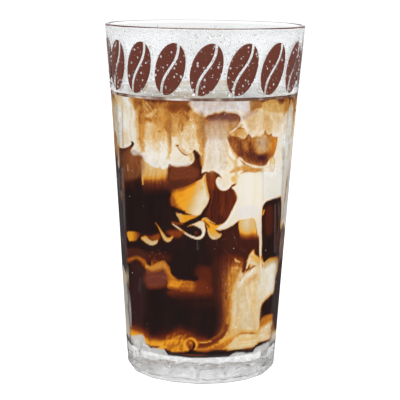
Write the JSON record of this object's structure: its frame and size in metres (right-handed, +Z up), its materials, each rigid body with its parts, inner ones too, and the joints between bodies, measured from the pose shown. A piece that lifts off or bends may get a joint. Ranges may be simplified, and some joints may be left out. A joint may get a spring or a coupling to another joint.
{
  "type": "iced coffee",
  "caption": "Iced coffee in a tall faceted clear tumbler, with cloudy milk sinking through dark coffee and free space left under the rim.",
  "frame": {"origin": "on the table, under the middle of the glass", "axes": "+Z up along the glass, -Y towards the viewer of the picture, +X to their right"},
  "size_m": [0.0846, 0.0846, 0.15],
  "materials": {
    "glass": "clear pressed glass with flats, fire-polished lip and a printed brown band of plain shapes",
    "coffee": "dark clear coffee, red-brown where thin, amber where milk lies close behind",
    "milk": "cloudy cream-white milk with tan wisps"
  },
  "bodies": {
    "root": {"glass": "glass", "coffee": "coffee", "milk": "milk"}
  },
  "joints": []
}
